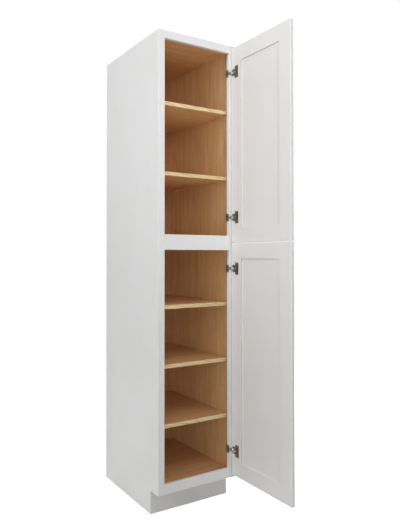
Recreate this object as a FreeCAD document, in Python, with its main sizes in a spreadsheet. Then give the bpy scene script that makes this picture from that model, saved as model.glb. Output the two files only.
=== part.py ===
import FreeCAD, Part
import os
import re
import Sketcher

# Tall utility cabinet with a face frame, two overlay doors, five loose shelves and concealed hinges.
# Frame: +X to the right, +Y to the wall behind, +Z up. The origin is on the floor, at the middle of
# the back. The doors are modelled open, as they rest.

# Driving sizes, in millimetres and degrees
SIZES = {
    # case
    "case_width": 457.2,
    "case_depth": 609.6,
    "case_height": 2362.2,
    "side_thick": 19.05,
    "top_thick": 19.05,
    "deck_thick": 19.05,
    "back_thick": 12.7,
    "dado_depth": 6.35,
    "back_rabbet": 9.5,
    # toe space
    "toe_height": 114.3,
    "toe_depth": 76.2,
    "toe_thick": 12.7,
    # face frame
    "frame_thick": 19.05,
    "frame_stile_width": 35.0,
    "top_rail_height": 38.1,
    "middle_rail_height": 75.0,
    "middle_rail_base": 1290.5,
    "bottom_rail_height": 47.6,
    "deck_drop": 12.9,
    "dowel_radius": 4.0,
    "dowel_length": 30.0,
    "dowel_inset": 11.0,
    "dowel_play": 0.05,
    "dowel_end_gap": 0.5,
    # shelves and their pins
    "shelf_thick": 19.05,
    "shelf_setback": 19.0,
    "shelf_side_gap": 1.5,
    "shelf_back_gap": 2.0,
    "lipping_depth": 6.35,
    "upper_top_bay": 316.0,
    "lower_bottom_bay": 267.0,
    "shelf_pin_radius": 2.5,
    "shelf_pin_stem": 9.0,
    "shelf_pin_ledge": 10.0,
    "shelf_pin_width": 9.0,
    "shelf_pin_inset": 50.0,
    "shelf_pin_play": 0.05,
    "shelf_pin_end_gap": 0.5,
    # doors
    "door_thick": 19.05,
    "door_gap": 2.5,
    "doors_apart": 3.0,
    "top_overlay": 23.6,
    "bottom_overlay": 32.9,
    "door_stile_width": 80.0,
    "door_rail_width": 80.0,
    "door_recess": 7.0,
    "door_edge_round": 3.0,
    "panel_thick": 6.35,
    "panel_play": 0.1,
    "panel_float": 1.5,
    "groove_depth": 9.5,
    "open_angle": 90.0,
    # hinges
    "hinge_overlay": 29.9,
    "hinge_offset": 131.0,
    "hinge_pin_edge": 8.0,
    "hinge_pin_sink": 8.0,
    "hinge_pin_radius": 1.3,
    "hinge_pin_play": 0.05,
    "hinge_pin_inset": 0.1,
    "cup_radius": 17.4,
    "cup_edge": 3.4,
    "cup_depth": 12.8,
    "cup_wall": 1.0,
    "cup_floor": 0.8,
    "cup_play": 0.1,
    "flange_thick": 1.5,
    "flange_height": 62.0,
    "flange_rim": 1.2,
    "flange_opening": 2.4,
    "flange_step": 11.5,
    "flange_end": 38.0,
    "flange_round": 3.0,
    "plate_thick": 3.2,
    "plate_height": 38.0,
    "plate_front": 2.0,
    "plate_lip": 9.0,
    "plate_lip_thick": 2.4,
    "arm_thick": 2.4,
    "arm_height": 12.0,
    "arm_reach": 9.5,
    "arm_tilt": 10.0,
    "arm_bend": 1.0,
    "arm_tail": 17.0,
    "eye_radius": 2.1,
    # screws of the hinges
    "screw_radius": 1.75,
    "screw_head_radius": 3.4,
    "screw_play": 0.05,
    "screw_end_gap": 1.0,
    "plate_screw_length": 16.0,
    "plate_screw_pitch": 25.0,
    "plate_screw_head": 1.9,
    "cup_screw_length": 12.0,
    "cup_screw_pitch": 45.0,
    "cup_screw_head": 1.6,
    "arm_screw_radius": 2.0,
    "arm_screw_head": 2.0,
    "arm_screw_place": 10.0,
}

# Places worked out from the sizes: rightward, frontward and upward levels
RIGHT = "(case_width / 2)"
LEFT = "(-case_width / 2)"
FRONT = "(-case_depth)"
FRAME_BACK = "(-case_depth + frame_thick)"
BACK_INSIDE = "(-back_thick)"
SIDE_DEPTH = "(case_depth - frame_thick)"
STILE_EDGE = "(case_width / 2 - frame_stile_width)"
FRAME_MIDDLE = "(-case_depth + frame_thick / 2)"
DECK_TOP = "(toe_height + bottom_rail_height - deck_drop)"
UPPER_FLOOR = "(middle_rail_base + 2 * deck_thick)"
UPPER_CEILING = "(case_height - top_thick)"
MIDDLE_LINE = "(middle_rail_base + middle_rail_height / 2)"
DOOR_WIDTH = "(case_width - 2 * (frame_stile_width - hinge_overlay))"
CUP_CENTRE = "(cup_edge + cup_radius)"
FLANGE_START = "(cup_radius - cup_wall - flange_opening)"
PIN_X = "(case_width / 2 - frame_stile_width + hinge_overlay - hinge_pin_edge)"
PIN_Y = "(-case_depth - door_gap - hinge_pin_sink)"

# Undersides of the shelves: the top bay and the bottom bay are set, the other bays share what is left
LOWER_BAY = f"((middle_rail_base - {DECK_TOP} - lower_bottom_bay - 3 * shelf_thick) / 3)"
UPPER_SECOND = f"({UPPER_CEILING} - upper_top_bay - shelf_thick)"
SHELF_BASES = {
    "lower_shelf_1": f"({DECK_TOP} + lower_bottom_bay)",
    "lower_shelf_2": f"({DECK_TOP} + lower_bottom_bay + {LOWER_BAY} + shelf_thick)",
    "lower_shelf_3": f"({DECK_TOP} + lower_bottom_bay + 2 * ({LOWER_BAY} + shelf_thick))",
    "upper_shelf_1": f"({UPPER_FLOOR} + ({UPPER_SECOND} - {UPPER_FLOOR} - shelf_thick) / 2)",
    "upper_shelf_2": UPPER_SECOND,
}
SHELF_FRONT = f"({FRAME_BACK} + shelf_setback)"
SHELF_BACK = f"({BACK_INSIDE} - shelf_back_gap)"
SHELF_PIN_PLACES = (f"({SHELF_FRONT} + shelf_pin_inset)", f"({SHELF_BACK} - shelf_pin_inset)")

# Each frame rail's foot and height
RAILS = {
    "bottom_frame_rail": ("toe_height", "bottom_rail_height"),
    "middle_frame_rail": ("middle_rail_base", "middle_rail_height"),
    "top_frame_rail": ("(case_height - top_rail_height)", "top_rail_height"),
}

# Each door's foot and height
LOWER_DOOR_BASE = "(toe_height + bottom_rail_height - bottom_overlay)"
UPPER_DOOR_BASE = f"({MIDDLE_LINE} + doors_apart / 2)"
DOORS = {
    "upper_door": (UPPER_DOOR_BASE, f"(case_height - top_rail_height + top_overlay - {UPPER_DOOR_BASE})"),
    "lower_door": (LOWER_DOOR_BASE, f"({MIDDLE_LINE} - doors_apart / 2 - {LOWER_DOOR_BASE})"),
}

# Turns used to lay things over
NO_TURN = "rotation(vector(0; 0; 1); 0)"
HALF_TURN = "rotation(vector(0; 0; 1); 180)"
Z_TO_RIGHT = "rotation(vector(0; 1; 0); 90)"
Z_TO_LEFT = "rotation(vector(0; 1; 0); -90)"
Z_TO_BACK = "rotation(vector(1; 0; 0); -90)"

doc = FreeCAD.newDocument("utility_cabinet")
sub_parts = []


def fill_sheet():
    """Write every driving size into the sheet, under its name."""
    sheet = doc.addObject("Spreadsheet::Sheet", "sizes")
    for row, (name, value) in enumerate(SIZES.items(), start=1):
        sheet.set(f"A{row}", str(value))
        sheet.setAlias(f"A{row}", name)
    doc.recompute()


def linked(formula):
    """Return the formula with each named size pointing at its cell in the sheet."""
    return re.sub(r"[a-z]\w*", lambda word: f"sizes.{word[0]}" if word[0] in SIZES else word[0], formula)


def bind(item, **formulas):
    """Bind properties of a document object to formulas of the named sizes."""
    for name, formula in formulas.items():
        item.setExpression(name, linked(formula))


def at(x, y, z, turn=NO_TURN):
    """Return the formula of a placement."""
    return f"placement(vector({x}; {y}; {z}); {turn})"


def new_body(label):
    """Start a sub-part that is made of sketched features."""
    body = doc.addObject("PartDesign::Body", label)
    body.Label = label
    sub_parts.append(body)
    return body


def new_sketch(body, name, plane):
    """Start a sketch on one of the body's own origin planes."""
    sketch = body.newObject("Sketcher::SketchObject", f"{body.Name}_{name}")
    support = [feature for feature in body.Origin.OriginFeatures if feature.Role == plane]
    sketch.AttachmentSupport = [(support[0], "")]
    sketch.MapMode = "FlatFace"
    return sketch


def add_size(sketch, kind, first, second, formula):
    """Add a dimension between two sketch points, each a curve and a point of it."""
    number = sketch.addConstraint(Sketcher.Constraint(kind, *first, *second, 1.0))
    sketch.setExpression(f"Constraints[{number}]", linked(formula))


def add_outline(sketch, corners):
    """Draw a closed outline through corners given as formulas of their two distances from the origin."""
    count = len(corners)
    spots = [FreeCAD.Vector(count * (k % 2) + k, k, 0) for k in range(count)]
    lines = []
    for k in range(count):
        lines.append(sketch.addGeometry(Part.LineSegment(spots[k], spots[(k + 1) % count]), False))
    for k in range(count):
        sketch.addConstraint(Sketcher.Constraint("Coincident", lines[k], 2, lines[(k + 1) % count], 1))
        add_size(sketch, "DistanceX", (-1, 1), (lines[k], 1), corners[k][0])
        add_size(sketch, "DistanceY", (-1, 1), (lines[k], 1), corners[k][1])


def add_circle(sketch, radius):
    """Draw a circle about the sketch's origin."""
    circle = sketch.addGeometry(Part.Circle(FreeCAD.Vector(0, 0, 0), FreeCAD.Vector(0, 0, 1), 1.0), False)
    sketch.addConstraint(Sketcher.Constraint("Coincident", circle, 3, -1, 1))
    number = sketch.addConstraint(Sketcher.Constraint("Radius", circle, 1.0))
    sketch.setExpression(f"Constraints[{number}]", linked(radius))


def pad(body, sketch, length, reverse=False):
    """Pad a sketch."""
    feature = body.newObject("PartDesign::Pad", f"{sketch.Name}_pad")
    feature.Profile = sketch
    feature.Reversed = reverse
    bind(feature, Length=length)
    return feature


def rectangle(wide, tall):
    """Return the corners of a rectangle that starts at the origin."""
    return [("0", "0"), (wide, "0"), (wide, tall), ("0", tall)]


def make_board(label, corner, wide, deep, tall):
    """Make a square-edged board, its lowest corner at the given place."""
    body = new_body(label)
    sketch = new_sketch(body, "outline", "XY_Plane")
    add_outline(sketch, rectangle(wide, deep))
    pad(body, sketch, tall)
    bind(body, Placement=at(*corner))
    return body


def cut_slot(body, name, corner, wide, deep, tall):
    """Cut a square-edged slot, its lowest corner at the given place in the body."""
    slot = body.newObject("PartDesign::SubtractiveBox", f"{body.Name}_{name}")
    bind(slot, Length=wide, Width=deep, Height=tall, Placement=at(*corner))


def cut_hole(body, name, mouth, radius, depth):
    """Drill a round hole from its mouth, a placement whose Z axis runs into the piece."""
    hole = body.newObject("PartDesign::SubtractiveCylinder", f"{body.Name}_{name}")
    bind(hole, Radius=radius, Height=depth, Placement=mouth)


def round_outside(body, outside, radius):
    """Round the edges where two outside faces meet, each given as an axis and an end of the body's box."""
    doc.recompute()
    base = body.Tip
    box = base.Shape.BoundBox
    limits = {"x": (box.XMin, box.XMax), "y": (box.YMin, box.YMax), "z": (box.ZMin, box.ZMax)}
    names = []
    for number, edge in enumerate(base.Shape.Edges, start=1):
        spans = {
            "x": (edge.BoundBox.XMin, edge.BoundBox.XMax),
            "y": (edge.BoundBox.YMin, edge.BoundBox.YMax),
            "z": (edge.BoundBox.ZMin, edge.BoundBox.ZMax),
        }
        touched = 0
        for axis, end in outside:
            touched += all(abs(value - limits[axis][end]) < 1e-4 for value in spans[axis])
        if touched == 2:
            names.append(f"Edge{number}")
    fillet = body.newObject("PartDesign::Fillet", f"{body.Name}_round")
    fillet.Base = (base, names)
    bind(fillet, Radius=radius)


def make_group(label, members):
    """Gather like solids under one node."""
    group = doc.addObject("Part::Compound", label)
    group.Label = label
    group.Links = members
    sub_parts.append(group)


def make_rod(name, place, radius, length):
    """Make a plain round rod along the Z axis of its placement."""
    rod = doc.addObject("Part::Cylinder", name)
    bind(rod, Radius=radius, Height=length, Placement=place)
    return rod


def make_screw(name, place, head, shank_radius, shank_length):
    """Make a screw that points along the Z axis of its placement, from a head and a plain shank."""
    shank = doc.addObject("Part::Cylinder", f"{name}_shank")
    bind(shank, Radius=shank_radius, Height=shank_length)
    screw = doc.addObject("Part::MultiFuse", name)
    screw.Shapes = [head, shank]
    bind(screw, Placement=place)
    return screw


def hinge_list():
    """Return each hinge's name, its door's name and the formula of its height above the door's foot."""
    hinges = []
    for door, (_, height) in DOORS.items():
        hinges.append((f"{door}_top_hinge", door, f"({height} - hinge_offset)"))
        hinges.append((f"{door}_bottom_hinge", door, "hinge_offset"))
    return hinges


def hinge_height(door, rise):
    """Return the formula of a hinge's height above the floor."""
    return f"({DOORS[door][0]} + {rise})"


def in_door(door, x, y, z, turn=NO_TURN):
    """Return the placement of a piece given in its door's frame, whose origin is the hinge line's foot."""
    turned = "rotation(vector(0; 0; 1); 180 + open_angle)"
    return at(PIN_X, PIN_Y, DOORS[door][0], turned) + " * " + at(x, y, z, turn)


def in_hinge_cup(door, rise):
    """Return a cup's placement: X towards the free edge, Z into the door, origin on its inner face."""
    return in_door(door, f"({CUP_CENTRE} - hinge_pin_edge)", "(-hinge_pin_sink)", rise, Z_TO_BACK)


def make_side_panel(label, left_edge, inner_start):
    """Make a side panel; inner_start gives where a cut of some depth starts, across the thickness."""
    body = new_body(label)
    sketch = new_sketch(body, "profile", "YZ_Plane")
    notch = "(toe_depth - frame_thick)"
    add_outline(sketch, [
        (notch, "0"),
        (SIDE_DEPTH, "0"),
        (SIDE_DEPTH, "case_height"),
        ("0", "case_height"),
        ("0", "toe_height"),
        (notch, "toe_height"),
    ])
    pad(body, sketch, "side_thick")
    inside_depth = f"({SIDE_DEPTH} - back_thick)"
    groove_start = inner_start("dado_depth")
    for name, base, tall in (
        ("bottom_groove", f"({DECK_TOP} - deck_thick)", "deck_thick"),
        ("middle_groove", "middle_rail_base", "2 * deck_thick"),
        ("top_groove", UPPER_CEILING, "top_thick"),
    ):
        cut_slot(body, name, (groove_start, "0", base), "dado_depth", inside_depth, tall)
    rabbet_corner = (inner_start("back_rabbet"), inside_depth, "0")
    cut_slot(body, "back_rabbet", rabbet_corner, "back_rabbet", "back_thick", "case_height")
    depth = "(shelf_pin_stem + shelf_pin_end_gap)"
    for shelf, base in SHELF_BASES.items():
        for number, place in enumerate(SHELF_PIN_PLACES, start=1):
            spot = (inner_start(depth), f"({place} - {FRAME_BACK})", f"({base} - shelf_pin_radius)")
            cut_hole(body, f"{shelf}_hole_{number}", at(*spot, Z_TO_RIGHT),
                     "(shelf_pin_radius + shelf_pin_play)", depth)
    bind(body, Placement=at(left_edge, FRAME_BACK, "0"))


def make_case():
    """Make the sides, back, top, decks and toe board."""
    make_side_panel("left_side_panel", LEFT, lambda depth: f"(side_thick - {depth})")
    make_side_panel("right_side_panel", f"({RIGHT} - side_thick)", lambda depth: "0")
    back_width = "(case_width - 2 * (side_thick - back_rabbet))"
    back_corner = (f"(-{back_width} / 2)", BACK_INSIDE, "0")
    make_board("back_panel", back_corner, back_width, "back_thick", "case_height")
    width = "(case_width - 2 * (side_thick - dado_depth))"
    depth = f"({SIDE_DEPTH} - back_thick)"
    for label, base, tall in (
        ("top_panel", UPPER_CEILING, "top_thick"),
        ("bottom_deck", f"({DECK_TOP} - deck_thick)", "deck_thick"),
        ("lower_section_ceiling", "middle_rail_base", "deck_thick"),
        ("upper_section_floor", "(middle_rail_base + deck_thick)", "deck_thick"),
    ):
        make_board(label, (f"(-{width} / 2)", FRAME_BACK, base), width, depth, tall)
    toe_width = "(case_width - 2 * side_thick)"
    toe_corner = (f"(-{toe_width} / 2)", f"({FRONT} + toe_depth)", "0")
    make_board("toe_board", toe_corner, toe_width, "toe_thick", f"({DECK_TOP} - deck_thick)")


def dowel_heights(foot, tall):
    """Return the heights of the two dowels at a rail's end."""
    return (f"({foot} + dowel_inset)", f"({foot} + {tall} - dowel_inset)")


def make_face_frame():
    """Make the frame's stiles and rails, drilled for dowels, and the dowels."""
    hole_radius = "(dowel_radius + dowel_play)"
    hole_depth = "(dowel_length / 2 + dowel_end_gap)"
    middle = "frame_thick / 2"
    stile_height = "(case_height - toe_height)"
    stiles = {
        "left_frame_stile": (LEFT, "frame_stile_width", Z_TO_LEFT),
        "right_frame_stile": (STILE_EDGE, "0", Z_TO_RIGHT),
    }
    for label, (left_edge, joint, inward) in stiles.items():
        corner = (left_edge, FRONT, "toe_height")
        body = make_board(label, corner, "frame_stile_width", "frame_thick", stile_height)
        for rail, (foot, tall) in RAILS.items():
            for number, height in enumerate(dowel_heights(foot, tall), start=1):
                mouth = at(joint, middle, f"({height} - toe_height)", inward)
                cut_hole(body, f"{rail}_dowel_{number}", mouth, hole_radius, hole_depth)
        if label == "right_frame_stile":
            drill_for_plates(body)
    rail_length = "(case_width - 2 * frame_stile_width)"
    dowels = []
    for label, (foot, tall) in RAILS.items():
        body = make_board(label, (f"(-{rail_length} / 2)", FRONT, foot), rail_length, "frame_thick", tall)
        ends = {"left": ("0", Z_TO_RIGHT, LEFT, "1"), "right": (rail_length, Z_TO_LEFT, RIGHT, "-1")}
        for end, (joint, inward, side, sense) in ends.items():
            for number, height in enumerate(dowel_heights(foot, tall), start=1):
                mouth = at(joint, middle, f"({height} - {foot})", inward)
                cut_hole(body, f"{end}_dowel_{number}", mouth, hole_radius, hole_depth)
                start = f"({side} + {sense} * frame_stile_width - dowel_length / 2)"
                place = at(start, FRAME_MIDDLE, height, Z_TO_RIGHT)
                name = f"{label}_{end}_dowel_{number}"
                dowels.append(make_rod(name, place, "dowel_radius", "dowel_length"))
    make_group("frame_dowels", dowels)


def drill_for_plates(body):
    """Drill the right stile's edge for the screws of the hinge plates."""
    for hinge, door, rise in hinge_list():
        height = f"({hinge_height(door, rise)} - toe_height)"
        for number, sense in enumerate(("+", "-"), start=1):
            spot = ("0", "frame_thick / 2", f"({height} {sense} plate_screw_pitch / 2)")
            cut_hole(body, f"{hinge}_screw_{number}", at(*spot, Z_TO_RIGHT),
                     "(screw_radius + screw_play)", "(plate_screw_length - plate_thick + screw_end_gap)")


def make_shelf(label, base):
    """Make a plywood shelf and the solid lipping along its front edge."""
    width = "(case_width - 2 * side_thick - 2 * shelf_side_gap)"
    left_edge = f"(-{width} / 2)"
    board_front = f"({SHELF_FRONT} + lipping_depth)"
    make_board(label, (left_edge, board_front, base), width, f"({SHELF_BACK} - {board_front})", "shelf_thick")
    make_board(f"{label}_lipping", (left_edge, SHELF_FRONT, base), width, "lipping_depth", "shelf_thick")


def make_shelf_pin(name, wall, inward, place, base):
    """Make a pin: a round stem in the wall and a flat ledge under the shelf."""
    turn = Z_TO_RIGHT if inward == "1" else Z_TO_LEFT
    start = at(f"({wall} - {inward} * shelf_pin_stem)", place, f"({base} - shelf_pin_radius)", turn)
    stem = make_rod(f"{name}_stem", start, "shelf_pin_radius", "shelf_pin_stem + shelf_pin_ledge / 2")
    ledge = doc.addObject("Part::Box", f"{name}_ledge")
    corner = (f"({wall} + ({inward} - 1) / 2 * shelf_pin_ledge)", f"({place} - shelf_pin_width / 2)",
              f"({base} - 2 * shelf_pin_radius)")
    bind(ledge, Length="shelf_pin_ledge", Width="shelf_pin_width", Height="2 * shelf_pin_radius",
         Placement=at(*corner))
    pin = doc.addObject("Part::MultiFuse", name)
    pin.Shapes = [stem, ledge]
    return pin


def make_shelves():
    """Make the shelves and, for each section, its group of shelf pins."""
    walls = {"left": (f"({LEFT} + side_thick)", "1"), "right": (f"({RIGHT} - side_thick)", "-1")}
    pins = {"upper": [], "lower": []}
    for label, base in SHELF_BASES.items():
        make_shelf(label, base)
        for side, (wall, inward) in walls.items():
            for number, place in enumerate(SHELF_PIN_PLACES, start=1):
                name = f"{label}_{side}_pin_{number}"
                pins[label.split("_")[0]].append(make_shelf_pin(name, wall, inward, place, base))
    for section, members in pins.items():
        make_group(f"{section}_shelf_pins", members)


def groove_section(width, edge_first):
    """Return a door member's section: a rectangle with the panel's groove in one of its edges."""
    near = "door_recess"
    far = "(door_recess + panel_thick + panel_play)"
    if edge_first:
        floor = "groove_depth"
        return [("0", "0"), (width, "0"), (width, "door_thick"), ("0", "door_thick"),
                ("0", far), (floor, far), (floor, near), ("0", near)]
    floor = f"({width} - groove_depth)"
    return [("0", "0"), (width, "0"), (width, near), (floor, near),
            (floor, far), (width, far), (width, "door_thick"), ("0", "door_thick")]


def make_door_stile(door, side):
    """Make one of a door's two upright members, rounded along its outside edges."""
    _, height = DOORS[door]
    body = new_body(f"{door}_{side}_stile")
    sketch = new_sketch(body, "section", "XY_Plane")
    add_outline(sketch, groove_section("door_stile_width", side == "free"))
    pad(body, sketch, height)
    outer = ("x", 0) if side == "hinge" else ("x", 1)
    round_outside(body, [("y", 0), ("y", 1), ("z", 0), ("z", 1), outer], "door_edge_round")
    offset = "(-hinge_pin_edge)"
    if side == "free":
        offset = f"({DOOR_WIDTH} - hinge_pin_edge - door_stile_width)"
    else:
        bore_for_cups(body, door)
    bind(body, Placement=in_door(door, offset, "(-hinge_pin_sink)", "0"))


def cup_screw_spots():
    """Return the two places of a cup's screws, from the cup's centre: along the door and up it."""
    along = "((flange_step + flange_end) / 2)"
    return ((along, "(cup_screw_pitch / 2)"), (along, "(-cup_screw_pitch / 2)"))


def bore_for_cups(body, door):
    """Bore a hinge stile for its cups and their screws."""
    for hinge, owner, rise in hinge_list():
        if owner != door:
            continue
        mouth = at(CUP_CENTRE, "0", rise, Z_TO_BACK)
        cut_hole(body, f"{hinge}_bore", mouth, "(cup_radius + cup_play)", "(cup_depth + cup_play)")
        for number, (along, up) in enumerate(cup_screw_spots(), start=1):
            mouth = at(f"({CUP_CENTRE} + {along})", "0", f"({rise} + {up})", Z_TO_BACK)
            cut_hole(body, f"{hinge}_screw_{number}", mouth, "(screw_radius + screw_play)",
                     "(cup_screw_length - flange_thick + screw_end_gap)")


def make_door_rail(door, end):
    """Make one of a door's two level members, with a tongue at each end for the stiles' grooves."""
    _, height = DOORS[door]
    length = f"({DOOR_WIDTH} - 2 * door_stile_width)"
    near = "door_recess"
    far = "(door_recess + panel_thick)"
    body = new_body(f"{door}_{end}_rail")
    sketch = new_sketch(body, "plan", "XY_Plane")
    tip = f"({length} + 2 * groove_depth)"
    right = f"({length} + groove_depth)"
    add_outline(sketch, [
        ("groove_depth", "0"), (right, "0"), (right, near), (tip, near), (tip, far), (right, far),
        (right, "door_thick"), ("groove_depth", "door_thick"), ("groove_depth", far), ("0", far),
        ("0", near), ("groove_depth", near),
    ])
    pad(body, sketch, "door_rail_width")
    round_outside(body, [("y", 0), ("y", 1), ("z", 1 if end == "top" else 0)], "door_edge_round")
    groove_foot = "0" if end == "top" else "(door_rail_width - groove_depth)"
    cut_slot(body, "groove", ("0", near, groove_foot), tip, "(panel_thick + panel_play)", "groove_depth")
    foot = f"({height} - door_rail_width)" if end == "top" else "0"
    corner = ("(door_stile_width - groove_depth - hinge_pin_edge)", "(-hinge_pin_sink)", foot)
    bind(body, Placement=in_door(door, *corner))


def make_door_panel(door):
    """Make a door's panel, which floats in the grooves of the four members."""
    _, height = DOORS[door]
    reach = "(groove_depth - panel_float)"
    wide = f"({DOOR_WIDTH} - 2 * door_stile_width + 2 * {reach})"
    tall = f"({height} - 2 * door_rail_width + 2 * {reach})"
    body = new_body(f"{door}_panel")
    sketch = new_sketch(body, "outline", "XY_Plane")
    add_outline(sketch, rectangle(wide, "panel_thick"))
    pad(body, sketch, tall)
    corner = (f"(door_stile_width - {reach} - hinge_pin_edge)",
              "(door_recess + panel_play / 2 - hinge_pin_sink)", f"(door_rail_width - {reach})")
    bind(body, Placement=in_door(door, *corner))


def make_doors():
    """Make both doors: two stiles, two rails and a panel each."""
    for door in DOORS:
        make_door_stile(door, "hinge")
        make_door_stile(door, "free")
        make_door_rail(door, "top")
        make_door_rail(door, "bottom")
        make_door_panel(door)


def make_hinge_plate(hinge, height):
    """Make the plate that wraps round the inner edge of the right stile."""
    body = new_body(f"{hinge}_plate")
    sketch = new_sketch(body, "plan", "XY_Plane")
    stile_back = "(frame_thick - plate_front)"
    back = "(frame_thick - plate_front + plate_lip_thick)"
    tip = "(plate_thick + plate_lip)"
    add_outline(sketch, [
        ("0", "0"), ("plate_thick", "0"), ("plate_thick", stile_back),
        (tip, stile_back), (tip, back), ("0", back),
    ])
    pad(body, sketch, "plate_height")
    middle = "(frame_thick / 2 - plate_front)"
    for number, sense in enumerate(("+", "-"), start=1):
        mouth = at("0", middle, f"(plate_height / 2 {sense} plate_screw_pitch / 2)", Z_TO_RIGHT)
        cut_hole(body, f"screw_{number}", mouth, "(screw_radius + screw_play)", "plate_thick")
        sink = body.newObject("PartDesign::SubtractiveCone", f"{hinge}_sink_{number}")
        bind(sink, Radius1="(screw_head_radius + screw_play)", Radius2="(screw_radius + screw_play)",
             Height="plate_screw_head", Placement=mouth)
    mouth = at("0", "(arm_screw_place - plate_front)", "(plate_height / 2)", Z_TO_RIGHT)
    cut_hole(body, "arm_screw", mouth, "(arm_screw_radius + screw_play)", "plate_thick")
    corner = (f"({STILE_EDGE} - plate_thick)", f"({FRONT} + plate_front)", f"({height} - plate_height / 2)")
    bind(body, Placement=at(*corner))


def add_bar(body, name, start, end):
    """Add a straight stretch of the arm's strip between two points of its plan."""
    across = f"({end[0]} - {start[0]})"
    along = f"({end[1]} - {start[1]})"
    angle = f"atan2({along}; {across})"
    bar = body.newObject("PartDesign::AdditiveBox", f"{body.Name}_{name}")
    corner = (f"({start[0]} + arm_thick / 2 * sin({angle}))", f"({start[1]} - arm_thick / 2 * cos({angle}))",
              "(-arm_height / 2)")
    bind(bar, Length=f"sqrt(pow({across}; 2) + pow({along}; 2))", Width="arm_thick", Height="arm_height",
         Placement=at(*corner, f"rotation(vector(0; 0; 1); {angle})"))


def add_post(body, name, spot, radius):
    """Add an upright round to the arm: its eye, or the outside of a bend."""
    post = body.newObject("PartDesign::AdditiveCylinder", f"{body.Name}_{name}")
    bind(post, Radius=radius, Height="arm_height", Placement=at(*spot, "(-arm_height / 2)"))


def make_hinge_arm(hinge, height):
    """Make the arm: a bent strip from its eye on the hinge pin to a tail on the plate.

    Its plan is drawn from the pin, X to the left and Y to the front.
    """
    body = new_body(f"{hinge}_arm")
    eye = ("0", "0")
    elbow = ("(arm_reach * cos(arm_tilt))", "(arm_reach * sin(arm_tilt))")
    tail_x = "(hinge_overlay - hinge_pin_edge + plate_thick + arm_thick / 2)"
    bend = (tail_x, "(-arm_bend - door_gap - hinge_pin_sink)")
    tail = (tail_x, "(-arm_tail - door_gap - hinge_pin_sink)")
    add_post(body, "eye", eye, "eye_radius")
    add_bar(body, "reach", eye, elbow)
    add_post(body, "elbow", elbow, "arm_thick / 2")
    add_bar(body, "slope", elbow, bend)
    add_post(body, "bend", bend, "arm_thick / 2")
    add_bar(body, "tail", bend, tail)
    cut_hole(body, "bore", at(*eye, "(-arm_height / 2)"), "(hinge_pin_radius + hinge_pin_play)", "arm_height")
    screw_y = "(-arm_screw_place - door_gap - hinge_pin_sink)"
    mouth = at(f"({tail_x} - arm_thick / 2)", screw_y, "0", Z_TO_RIGHT)
    cut_hole(body, "screw", mouth, "(arm_screw_radius + screw_play)", "arm_thick")
    bind(body, Placement=at(PIN_X, PIN_Y, height, HALF_TURN))


def pin_in_cup():
    """Return the placement of the pin's start, seen from a cup's centre, with Z along the pin."""
    return at(f"(hinge_pin_edge - {CUP_CENTRE})", "(-cup_radius)", "hinge_pin_sink", Z_TO_BACK)


def make_hinge_cup(hinge, door, rise):
    """Make the cup: a round pan let into the door, with a rim open towards the hinge edge and a screw strip."""
    body = new_body(f"{hinge}_cup")
    sketch = new_sketch(body, "strip", "XY_Plane")
    add_outline(sketch, [
        ("flange_step", "(-flange_height / 2)"),
        ("flange_end", "(-flange_height / 2)"),
        ("flange_end", "(flange_height / 2)"),
        ("flange_step", "(flange_height / 2)"),
    ])
    pad(body, sketch, "flange_thick", reverse=True)
    round_outside(body, [("x", 1), ("y", 0), ("y", 1)], "flange_round")
    rim = new_sketch(body, "rim", "XY_Plane")
    rim_radius = "(cup_radius + flange_rim)"
    add_circle(rim, rim_radius)
    pad(body, rim, "flange_thick", reverse=True)
    corner = (f"(-{rim_radius})", f"(-{rim_radius})", "(-flange_thick)")
    cut_slot(body, "opening", corner, f"({rim_radius} - {FLANGE_START})", f"(2 * {rim_radius})", "flange_thick")
    pan = new_sketch(body, "pan", "XY_Plane")
    add_circle(pan, "cup_radius")
    pad(body, pan, "cup_depth")
    hollow = at("0", "0", "(-flange_thick)")
    cut_hole(body, "hollow", hollow, "(cup_radius - cup_wall)", "(flange_thick + cup_depth - cup_floor)")
    cut_hole(body, "pin_bore", pin_in_cup(), "(hinge_pin_radius + hinge_pin_play)", "2 * cup_radius")
    for number, (along, up) in enumerate(cup_screw_spots(), start=1):
        mouth = at(along, up, "(-flange_thick)")
        cut_hole(body, f"screw_{number}", mouth, "(screw_radius + screw_play)", "flange_thick")
    bind(body, Placement=in_hinge_cup(door, rise))


def make_hinge_pin(name, door, rise):
    """Make the pin across a pan, its ends dressed to the pan's round outside."""
    rod = make_rod(f"{name}_rod", pin_in_cup(), "hinge_pin_radius", "2 * cup_radius")
    outside = make_rod(f"{name}_outside", at("0", "0", "0"), "(cup_radius - hinge_pin_inset)", "cup_depth")
    pin = doc.addObject("Part::MultiCommon", name)
    pin.Shapes = [rod, outside]
    bind(pin, Placement=in_hinge_cup(door, rise))
    return pin


def round_head(name, radius, tall):
    """Make a flat round screw head that stands behind the start of its shank."""
    return make_rod(name, at("0", "0", f"(-{tall})"), radius, tall)


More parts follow.
